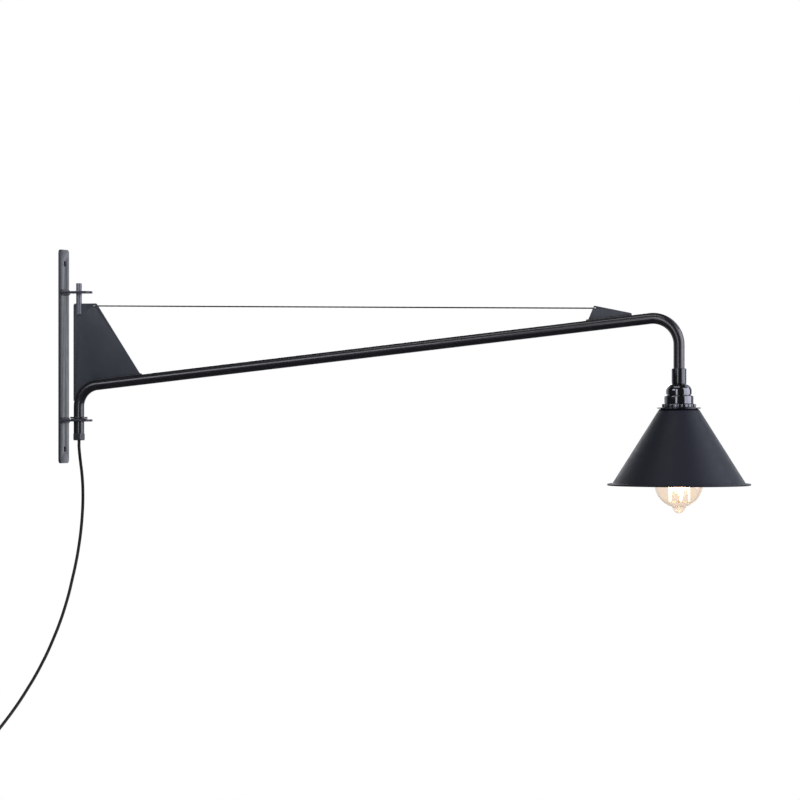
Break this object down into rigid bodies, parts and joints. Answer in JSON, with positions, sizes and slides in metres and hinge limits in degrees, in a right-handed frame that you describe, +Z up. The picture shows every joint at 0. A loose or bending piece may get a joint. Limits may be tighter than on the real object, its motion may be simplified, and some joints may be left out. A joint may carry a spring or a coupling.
{
  "type": "swing arm wall lamp",
  "caption": "Wall lamp on a long bent-tube arm that swings in a wall bracket, braced by gussets and a stay wire, with a cone shade, a bare bulb and a hanging cord with a plug.",
  "frame": {"origin": "centre of the back face of the wall plate, on the wall", "axes": "+X out of the wall along the arm at rest, +Z up, Y along the wall"},
  "size_m": [0.9109, 0.4174, 0.7765],
  "materials": {
    "bracket_paint": "satin blue-grey paint",
    "arm_paint": "semi-gloss near-black paint",
    "gusset_paint": "satin dark grey paint",
    "shade_paint": "satin charcoal paint",
    "black_chrome": "glossy black chrome",
    "washer_metal": "dark plated steel",
    "washer_nylon": "black nylon",
    "pin_steel": "satin blue-grey paint",
    "wire_steel": "drawn steel wire",
    "bead_metal": "bright crimped metal",
    "gland_metal": "black plated",
    "grommet_rubber": "matt black rubber",
    "cord_jacket": "smooth black cord jacket",
    "tie_strap": "black strap",
    "plug_moulding": "black moulding",
    "blade_brass": "bare brass",
    "screw_steel": "blackened steel",
    "nipple_zinc": "zinc plated",
    "insulator_ceramic": "glazed off-white",
    "core_insulation": "thin insulation",
    "cap_nickel": "nickel plated shell",
    "black_glass": "black vitrified glass",
    "contact_tin": "tinned contact",
    "amber_glass": "clear amber tinted glass",
    "clear_glass": "clear glass",
    "support_wire": "thin dark wire",
    "hot_filament": "glowing wire"
  },
  "bodies": {
    "wall_bracket": {"wall_plate": "bracket_paint", "upper_lug": "bracket_paint", "lower_lug": "bracket_paint", "lug_welds": "bracket_paint", "thrust_washer": "washer_nylon", "power_cord": "cord_jacket", "cord_coil": "cord_jacket", "cord_tail": "cord_jacket", "cord_tie": "tie_strap", "plug_relief": "plug_moulding", "plug_body": "plug_moulding", "plug_blades": "blade_brass"},
    "swing_arm": {"arm_tube": "arm_paint", "stop_collar": "arm_paint", "hinge_gusset": "gusset_paint", "pivot_pin": "pin_steel", "tip_gusset": "gusset_paint", "gusset_welds": "arm_paint", "stay_wire": "wire_steel", "wire_beads": "bead_metal", "cord_gland": "gland_metal", "gland_grommet": "grommet_rubber", "arm_cable": "cord_jacket", "holder_sleeve": "black_chrome", "sleeve_screw": "screw_steel", "threaded_nipple": "nipple_zinc", "holder_cap": "black_chrome", "holder_body": "black_chrome", "shade_ring": "black_chrome", "shade_washer": "washer_metal", "retaining_ring": "black_chrome", "shade": "shade_paint", "socket_insulator": "insulator_ceramic", "terminal_screws": "blade_brass", "terminal_wires": "core_insulation", "screw_shell": "blade_brass", "centre_contact": "blade_brass"},
    "bulb_base": {"bulb_cap": "cap_nickel", "bulb_insulator": "black_glass", "bulb_contact": "contact_tin"},
    "bulb_envelope": {"bulb_glass": "amber_glass", "bulb_stem": "clear_glass", "bulb_supports": "support_wire", "bulb_filament": "hot_filament"}
  },
  "joints": [
    {"name": "arm_swing", "type": "hinge", "parent": "wall_bracket", "child": "swing_arm", "pos_m": [0.023, 0, 0], "axis": [0, 0, 1], "range_deg": [-84, 84]},
    {"name": "bulb_advance", "type": "slide", "parent": "swing_arm", "child": "bulb_base", "axis": [0, 0, -1], "range_m": [0, 0.01996]},
    {"name": "bulb_turn", "type": "hinge", "parent": "bulb_base", "child": "bulb_envelope", "pos_m": [0.822, 0, -0.1], "axis": [0, 0, -1], "range_deg": [0, 1980]}
  ],
  "couplings": [
    {"joint": "bulb_turn", "follows": "bulb_advance", "rad_per_m": 1731.3}
  ]
}
